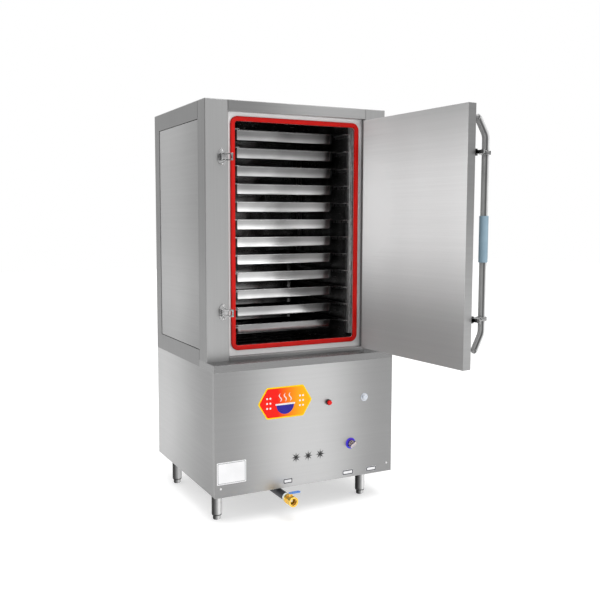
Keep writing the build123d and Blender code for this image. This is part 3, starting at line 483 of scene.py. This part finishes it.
def arcPoints(radius, first, sweep, steps, centre=(0.0, 0.0)):
    # steps + 1 points, with angles in radians
    turns = [first + sweep * k / steps for k in range(steps + 1)]
    return [(centre[0] + radius * math.cos(turn), centre[1] + radius * math.sin(turn)) for turn in turns]


def ringPoints(radius, count, centre=(0.0, 0.0)):
    return arcPoints(radius, 0.0, fullTurn, count, centre)[:-1]


def domeProfile(radius, height, steps):
    # a quarter of an ellipse, from its rim up to its tip
    rise = arcPoints(1.0, 0.0, math.pi / 2, steps)[:-1]
    return [(radius * across, height * up) for across, up in rise] + [(0.0, height)]


def rectangle(width, height):
    right, top = width / 2, height / 2
    return [(-right, -top), (right, -top), (right, top), (-right, top)]


def roundedOutline(points, radius, steps=6):
    # a flat outline with each corner turned into an arc
    rounded = []
    for index, point in enumerate(points):
        corner = Vector(point)
        before = (Vector(points[index - 1]) - corner).normalized()
        after = (Vector(points[(index + 1) % len(points)]) - corner).normalized()
        half = math.acos(max(-1.0, min(1.0, before.dot(after)))) / 2
        back = radius / math.tan(half)
        centre = corner + (before + after).normalized() * (radius / math.sin(half))
        start = corner + before * back - centre
        end = corner + after * back - centre
        for step in range(steps + 1):
            rounded.append(centre + start.lerp(end, step / steps).normalized() * radius)
    return rounded


def slabFromOutline(outline, depth, place, finishIndex=0, shape=None):
    # an outline in the front's plane, x to the right and y up, made depth thick towards the front
    shape = shape or bmesh.new()
    backLoop = [shape.verts.new(place @ Vector((across, 0.0, up))) for across, up in outline]
    frontLoop = [shape.verts.new(place @ Vector((across, -depth, up))) for across, up in outline]
    faces = [shape.faces.new(backLoop), shape.faces.new(frontLoop[::-1])]
    for index in range(len(outline)):
        following = (index + 1) % len(outline)
        faces.append(shape.faces.new((backLoop[index], frontLoop[index], frontLoop[following],
                                      backLoop[following])))
    for face in faces:
        face.material_index = finishIndex
    return shape


def bandFromOutlines(outer, inner, depth, place, finishIndex=0, shape=None):
    # a flat frame between two outlines with the same number of points
    shape = shape or bmesh.new()
    loops = []
    for outline, y in ((outer, 0.0), (outer, -depth), (inner, -depth), (inner, 0.0)):
        loops.append([shape.verts.new(place @ Vector((across, y, up))) for across, up in outline])
    for index in range(len(outer)):
        following = (index + 1) % len(outer)
        for lap, first in enumerate(loops):
            second = loops[(lap + 1) % len(loops)]
            face = shape.faces.new((first[index], second[index], second[following], first[following]))
            face.material_index = finishIndex
    return shape


def lathe(profile, place, segments=48, shape=None):
    # a profile of (radius, height) turned round the local z axis and closed where its radius is 0
    shape = shape or bmesh.new()
    rings = []
    for radius, height in profile:
        around = ringPoints(radius, segments) if radius else [(0.0, 0.0)]
        rings.append([shape.verts.new(place @ Vector((x, y, height))) for x, y in around])
    for lower, upper in zip(rings, rings[1:]):
        for k in range(segments):
            following = (k + 1) % segments
            corners = [lower[k % len(lower)], lower[following % len(lower)],
                       upper[following % len(upper)], upper[k % len(upper)]]
            shape.faces.new(list(dict.fromkeys(corners)))
    return shape


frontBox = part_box("lower_front")
frontY = frontBox[0][1]
middleX = (frontBox[0][0] + frontBox[1][0]) / 2
toFront = Matrix.Rotation(math.pi / 2, 4, "X")  # turns a lathe's axis to point out of the front


def onFront(x, z):
    # a place on the lower front, x from its middle and z from the floor, in millimetres
    return Matrix.Translation((middleX + x * mm, frontY, z * mm))


def inFrontOf(place, distance):
    # the same place moved towards the viewer, or behind the sheet where the distance is negative
    return place @ Matrix.Translation((0.0, -distance * mm, 0.0))


smallPlate = {"height": 18.0, "thick": 0.5, "corner": 1.5, "margin": 0.6, "line": 3.4}
plates = {
    "info_plate": {"x": -306.0, "z": 192.0, "width": 112.0, "height": 80.0, "thick": 0.6, "corner": 2.5,
                   "margin": 3.5, "line": 1.2},
    "marker_plate_left": {"x": -82.5, "z": 128.0, "width": 37.0, **smallPlate},
    "marker_plate_middle": {"x": 173.5, "z": 124.0, "width": 47.0, **smallPlate},
    "marker_plate_right": {"x": 278.0, "z": 124.0, "width": 44.0, **smallPlate},
}
plateFinish = {"ink": 0.08, "softEdge": 0.15}  # how far the printed line stands up, and the plate's edge


def plateOutline(plate, inset):
    corners = rectangle(plate["width"] - 2 * inset, plate["height"] - 2 * inset)
    return scaled(roundedOutline(corners, plate["corner"]))


def makePlate(name, plate):
    place = onFront(plate["x"], plate["z"])
    shape = slabFromOutline(plateOutline(plate, 0.0), plate["thick"] * mm, place)
    outer = plateOutline(plate, plate["margin"])
    inner = plateOutline(plate, plate["margin"] + plate["line"])
    bandFromOutlines(outer, inner, plateFinish["ink"] * mm, inFrontOf(place, plate["thick"]), 1, shape)
    addPiece(name, shape, ("plateWhite", "plateBorder"), "cabinet", plateFinish["softEdge"] * mm)


for name, plate in plates.items():
    makePlate(name, plate)
print("plates made:", len(plates))

# a printed badge: a steaming bowl on a warm field, between dots
badge = {"x": -94.0, "z": 424.0, "halfWidth": 110.0, "halfHeight": 58.0, "shoulder": 74.0, "corner": 10.0,
         "rim": 5.0, "rimAtTips": 1.2, "rimAtShoulders": 0.5, "thick": 0.5, "layer": 0.12,
         "left": (0.85, 0.010, 0.004), "right": (0.95, 0.42, 0.004), "fadeShift": 20.0, "fadeShare": 0.45,
         "rough": (0.3, 0.4), "specular": 0.15}
bowl = {"radius": 36.0, "z": -8.0, "steps": 24, "lipHalf": 40.0, "lipBelow": 2.0, "lipAbove": 4.0,
        "lipCorner": 2.5}
steam = {"curls": 3, "pitch": 20.0, "z": 3.0, "height": 30.0, "width": 4.2, "sway": 4.5, "thinFrom": 0.12,
         "thinRun": 0.8, "steps": 12}
dots = {"x": 60.0, "z": -18.0, "pitchX": 13.0, "pitchZ": 18.0, "columns": 2, "rows": 3, "radius": 3.6,
        "sides": 16}


def badgeField():
    # printed field that runs from one colour at the left to another at the right
    finish, tree, shader = startFinish("badgeField")
    middle = middleX + (badge["x"] + badge["fadeShift"]) * mm
    reach = badge["halfWidth"] * badge["fadeShare"] * mm
    across = component(tree, "ShaderNodeTexCoord", "Object", "X")
    run = spread(tree, across, 0.0, 1.0, middle - reach, middle + reach)
    grain = stretchedNoise(tree, "print", evenScratch)
    tree.links.new(blendColours(tree, run, badge["left"], badge["right"]), shader.inputs["Base Color"])
    tree.links.new(spread(tree, grain, *badge["rough"]), shader.inputs["Roughness"])
    shader.inputs["Specular IOR Level"].default_value = badge["specular"]
    return finish


def badgeOutline(inset):
    wide = badge["halfWidth"] - inset * badge["rimAtTips"]
    tall = badge["halfHeight"] - inset
    shoulder = badge["shoulder"] - inset * badge["rimAtShoulders"]
    corners = [(-wide, 0.0), (-shoulder, -tall), (shoulder, -tall), (wide, 0.0), (shoulder, tall),
               (-shoulder, tall)]
    return roundedOutline(corners, badge["corner"])


def lipOutline():
    low, high = bowl["z"] - bowl["lipBelow"], bowl["z"] + bowl["lipAbove"]
    half = bowl["lipHalf"]
    return roundedOutline([(-half, low), (half, low), (half, high), (-half, high)], bowl["lipCorner"])


def steamCurl(x):
    right, left = [], []
    for step in range(steam["steps"] + 1):
        share = step / steam["steps"]
        middle = x + steam["sway"] * math.sin(share * fullTurn)
        half = steam["width"] / 2 * math.sin(math.pi * (steam["thinFrom"] + steam["thinRun"] * share))
        height = steam["z"] + share * steam["height"]
        right.append((middle + half, height))
        left.append((middle - half, height))
    return right + left[::-1]


def makeBadge():
    place = onFront(badge["x"], badge["z"])
    shape = slabFromOutline(scaled(badgeOutline(0.0)), badge["thick"] * mm, place)

    def printLayer(outline, level, finishIndex):
        spot = inFrontOf(place, badge["thick"] + level * badge["layer"])
        slabFromOutline(scaled(outline), badge["layer"] * mm, spot, finishIndex, shape)

    printLayer(badgeOutline(badge["rim"]), 0, 1)
    printLayer(arcPoints(bowl["radius"], math.pi, math.pi, bowl["steps"], (0.0, bowl["z"])), 1, 2)
    printLayer(lipOutline(), 2, 3)
    for index in range(steam["curls"]):
        printLayer(steamCurl((index - (steam["curls"] - 1) / 2) * steam["pitch"]), 1, 3)
    for side in (-1, 1):
        for row in range(dots["rows"]):
            for column in range(dots["columns"]):
                centre = (side * (dots["x"] + dots["pitchX"] * column), dots["z"] + dots["pitchZ"] * row)
                printLayer(ringPoints(dots["radius"], dots["sides"], centre), 1, 3)
    addPiece("front_badge", shape, ("badgeYellow", "badgeField", "badgeBlue", "badgeWhite"), "cabinet")


finishes["badgeField"] = badgeField()
makeBadge()
print("badge made")

# a black ring on each foot, close under its leg tube
footRing = {"radius": 18.6, "inner": 13.2, "height": 2.6, "edge": 0.6, "straight": (0.3, 0.7)}
footNames = ("foot_front_left", "foot_front_right", "foot_rear_left", "foot_rear_right")


def makeFootRings():
    inner, outer, tall = (footRing[key] * mm for key in ("inner", "radius", "height"))
    eased = outer - footRing["edge"] * mm
    straightFrom, straightTo = (share * tall for share in footRing["straight"])
    profile = [(inner, 0.0), (eased, 0.0), (outer, straightFrom), (outer, straightTo), (eased, tall),
               (inner, tall), (inner, 0.0)]
    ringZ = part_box("leg_sleeves")[0][2] - tall
    for name in footNames:
        low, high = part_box(name)
        place = Matrix.Translation(((low[0] + high[0]) / 2, (low[1] + high[1]) / 2, ringZ))
        addPiece(f"{name}_ring", lathe(profile, place), ("ringBlack",), name, smooth=True)


makeFootRings()

# thread tape wound on the drain pipe where it enters the valve
tape = {"radius": 16.1, "inner": 15.02, "length": 13.0, "gap": 1.5, "laps": 5, "ripple": 0.22,
        "pipeRadius": 15.0}


def makeDrainTape():
    pipeLow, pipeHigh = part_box("drain_pipe")
    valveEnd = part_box("drain_valve")[1][1]
    inner, length = tape["inner"] * mm, tape["length"] * mm
    steps = tape["laps"] * 4  # four to a lap: up, crest, down, hollow
    profile = [(inner, 0.0)]
    for step in range(steps + 1):
        radius = tape["radius"] + tape["ripple"] * math.sin(step * math.pi / 2)
        profile.append((radius * mm, step / steps * length))
    profile += [(inner, length), (inner, 0.0)]
    pipeX, pipeZ = (pipeLow[0] + pipeHigh[0]) / 2, pipeLow[2] + tape["pipeRadius"] * mm
    place = Matrix.Translation((pipeX, valveEnd + tape["gap"] * mm, pipeZ)) @ toFront.inverted()
    addPiece("drain_tape", lathe(profile, place), ("tapeWhite",), "cabinet", smooth=True)


makeDrainTape()
print("feet and drain dressed")

# domed screws above and below each striker's hook
strikerScrew = {"radius": 3.6, "height": 1.6, "sunk": 0.4, "steps": 5, "segments": 24, "spread": 22.0,
                "x": -306.0, "plateHeight": 60.0, "plateThick": 3.0}


def makeStrikerScrews():
    strikerLow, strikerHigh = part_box("strikers")
    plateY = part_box("front_posts")[0][1] - strikerScrew["plateThick"] * mm
    halfPlate = strikerScrew["plateHeight"] / 2 * mm
    radius = strikerScrew["radius"] * mm
    profile = [(radius, -strikerScrew["sunk"] * mm)]
    profile += domeProfile(radius, strikerScrew["height"] * mm, strikerScrew["steps"])
    for index, middleZ in enumerate((strikerLow[2] + halfPlate, strikerHigh[2] - halfPlate)):
        shape = bmesh.new()
        for up in (-1, 1):
            spot = (middleX + strikerScrew["x"] * mm, plateY, middleZ + up * strikerScrew["spread"] * mm)
            lathe(profile, Matrix.Translation(spot) @ toFront, strikerScrew["segments"], shape)
        addPiece(f"striker_screws_{index + 1}", shape, ("chrome",), "cabinet", smooth=True)


makeStrikerScrews()

# a black disc behind each star vent and a black star on the sheet over it, painted shade that sharpens each
# vent
vents = {"x": 1.8, "z": 211.6, "pitch": 50.8, "count": 3, "backDisc": 15.5, "backDiscSides": 32, "gap": 1.3,
         "thick": 0.4, "rays": 8, "reach": 20.0, "waist": 5.6, "proud": 0.2}


def makeVentStars():
    tips = ringPoints(vents["reach"], 2 * vents["rays"])
    waists = ringPoints(vents["waist"], 2 * vents["rays"])
    star = [waist if k % 2 else tip for k, (tip, waist) in enumerate(zip(tips, waists))]
    disc = ringPoints(vents["backDisc"], vents["backDiscSides"])
    shape = bmesh.new()
    for index in range(vents["count"]):
        place = onFront(vents["x"] + (index - (vents["count"] - 1) / 2) * vents["pitch"], vents["z"])
        behind = inFrontOf(place, -vents["gap"] - vents["thick"])
        slabFromOutline(scaled(disc), vents["thick"] * mm, behind, 0, shape)
        slabFromOutline(scaled(star), vents["proud"] * mm, place, 0, shape)
    addPiece("vent_stars", shape, ("ringBlack",), "cabinet")


makeVentStars()

# a pale glass flange round the signal lamp
lampFlange = {"radius": 15.5, "thick": 1.6, "round": 0.8, "gap": 0.1}


def makeLampFlange():
    low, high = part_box("lamp_bezel")
    bore = (high[0] - low[0]) / 2 + lampFlange["gap"] * mm
    outer, thick, ease = (lampFlange[key] * mm for key in ("radius", "thick", "round"))
    profile = [(bore, 0.0), (outer, 0.0), (outer, thick - ease), (outer - ease, thick), (bore, thick),
               (bore, 0.0)]
    place = Matrix.Translation(((low[0] + high[0]) / 2, frontY, (low[2] + high[2]) / 2)) @ toFront
    addPiece("lamp_flange", lathe(profile, place), ("lampWhite",), "cabinet")


makeLampFlange()

# domed caps that close both ends of the handle's tube, which turns back to the door there
handleCap = {"radius": 11.8, "length": 13.0, "steps": 8, "segments": 32, "gap": 0.05, "rimDepth": 0.1}
handleEnds = {"doorAngle": 94.8, "rise": 54.0, "back": {"top": 36.0, "bottom": 30.0}}


def endCentre(name, direction):
    # the middle of a tube's rim at the end that lies furthest along a direction
    corners = [corner.co for corner in nodes[name].data.vertices]
    reach = max(corner.dot(direction) for corner in corners)
    rim = [corner for corner in corners if corner.dot(direction) > reach - handleCap["rimDepth"] * mm]
    return sum(rim, Vector()) / len(rim)


def makeHandleCaps():
    turn = math.radians(handleEnds["doorAngle"])
    inward = Vector((-math.sin(turn), math.cos(turn), 0.0))
    profile = [(0.0, 0.0)]
    profile += domeProfile(handleCap["radius"] * mm, handleCap["length"] * mm, handleCap["steps"])
    for end, up in (("top", 1), ("bottom", -1)):
        bend = inward * handleEnds["back"][end] + Vector((0.0, 0.0, up * handleEnds["rise"]))
        along = bend.normalized()
        seat = endCentre("handle_bar", along) + along * handleCap["gap"] * mm
        place = Matrix.Translation(seat) @ along.to_track_quat("Z", "Y").to_matrix().to_4x4()
        addPiece(f"handle_cap_{end}", lathe(profile, place, handleCap["segments"]), ("barSteel",), "latch",
                 smooth=True)


makeHandleCaps()
print("strikers, vents, lamp and handle dressed")

floor = {"half": 14.0, "squares": 8, "low": (0.62,) * 3, "high": (0.66,) * 3, "clouds": (2.0, 2.0, 2.0),
         "rough": 0.8, "glow": 0.75}


def makeFloor():
    finish, tree, shader = startFinish("floorFinish")
    clouds = spread(tree, stretchedNoise(tree, "floor", floor["clouds"]), 0.0, 1.0)
    tone = blendColours(tree, clouds, floor["low"], floor["high"])
    for name in ("Base Color", "Emission Color"):
        tree.links.new(tone, shader.inputs[name])
    shader.inputs["Roughness"].default_value = floor["rough"]
    shader.inputs["Emission Strength"].default_value = floor["glow"]
    shape = bmesh.new()
    squares = floor["squares"]
    bmesh.ops.create_grid(shape, x_segments=squares, y_segments=squares, size=floor["half"])
    mesh = bpy.data.meshes.new("floor")
    shape.to_mesh(mesh)
    shape.free()
    mesh.materials.append(finish)
    ground = bpy.data.objects.new("floor", mesh)
    scene.collection.objects.link(ground)


makeFloor()

# the studio as the metal sees it: white walls with soft dark gaps between them, and a brighter ceiling
studio = {"walls": ((0.0, 0.75), (0.06, 0.45), (0.16, 0.18), (0.30, 0.2), (0.36, 0.95), (0.46, 1.0),
                    (0.53, 0.5), (0.62, 0.35), (0.72, 0.2), (0.78, 0.35), (0.83, 0.95), (0.96, 1.0)),
          "ceiling": (1.3,) * 3, "ceilingFrom": 0.25, "ceilingTo": 0.8, "backdrop": (1.0,) * 3}


def makeStudio():
    world = bpy.data.worlds.new("studio")
    world.use_nodes = True
    scene.world = world
    tree = world.node_tree
    east, north, up = (component(tree, "ShaderNodeTexCoord", "Generated", axis) for axis in ("X", "Y", "Z"))
    walls = rampOf(tree, compassShare(tree, east, north), studio["walls"], "EASE")
    raised = spread(tree, up, 0.0, 1.0, studio["ceilingFrom"], studio["ceilingTo"], "SMOOTHSTEP")
    room = blendColours(tree, raised, walls, studio["ceiling"])
    cameraRay = addNode(tree, "ShaderNodeLightPath").outputs["Is Camera Ray"]
    seen = blendColours(tree, cameraRay, room, studio["backdrop"])
    tree.links.new(seen, tree.nodes["Background"].inputs["Color"])


makeStudio()
scene.view_settings.view_transform = "Standard"

ceilingLight = {"at": (0.0, -0.8, 3.6), "aim": (0.0, 0.0, 0.0), "size": (3.0, 3.0), "power": 60.0}


def hangLight(name, box):
    lamp = bpy.data.lights.new(name, "AREA")
    lamp.shape = "RECTANGLE"
    lamp.size, lamp.size_y = box["size"]
    lamp.energy = box["power"]
    holder = bpy.data.objects.new(name, lamp)
    holder.location = box["at"]
    holder.rotation_euler = (Vector(box["aim"]) - Vector(box["at"])).to_track_quat("-Z", "Y").to_euler()
    scene.collection.objects.link(holder)


hangLight("ceilingLight", ceilingLight)

lens = {"at": (-1.37955, -2.55006, 1.08447), "tilt": 84.81, "turn": -26.03, "focal": 47.02, "sensor": 36.0,
        "shift": (0.0425, -0.0161)}


def placeCamera():
    cameraData = bpy.data.cameras.new("camera")
    cameraData.sensor_width = lens["sensor"]
    cameraData.lens = lens["focal"]
    cameraData.shift_x, cameraData.shift_y = lens["shift"]
    camera = bpy.data.objects.new("camera", cameraData)
    camera.location = lens["at"]
    camera.rotation_euler = (math.radians(lens["tilt"]), 0.0, math.radians(lens["turn"]))
    scene.collection.objects.link(camera)
    scene.camera = camera


placeCamera()
print("stage ready")
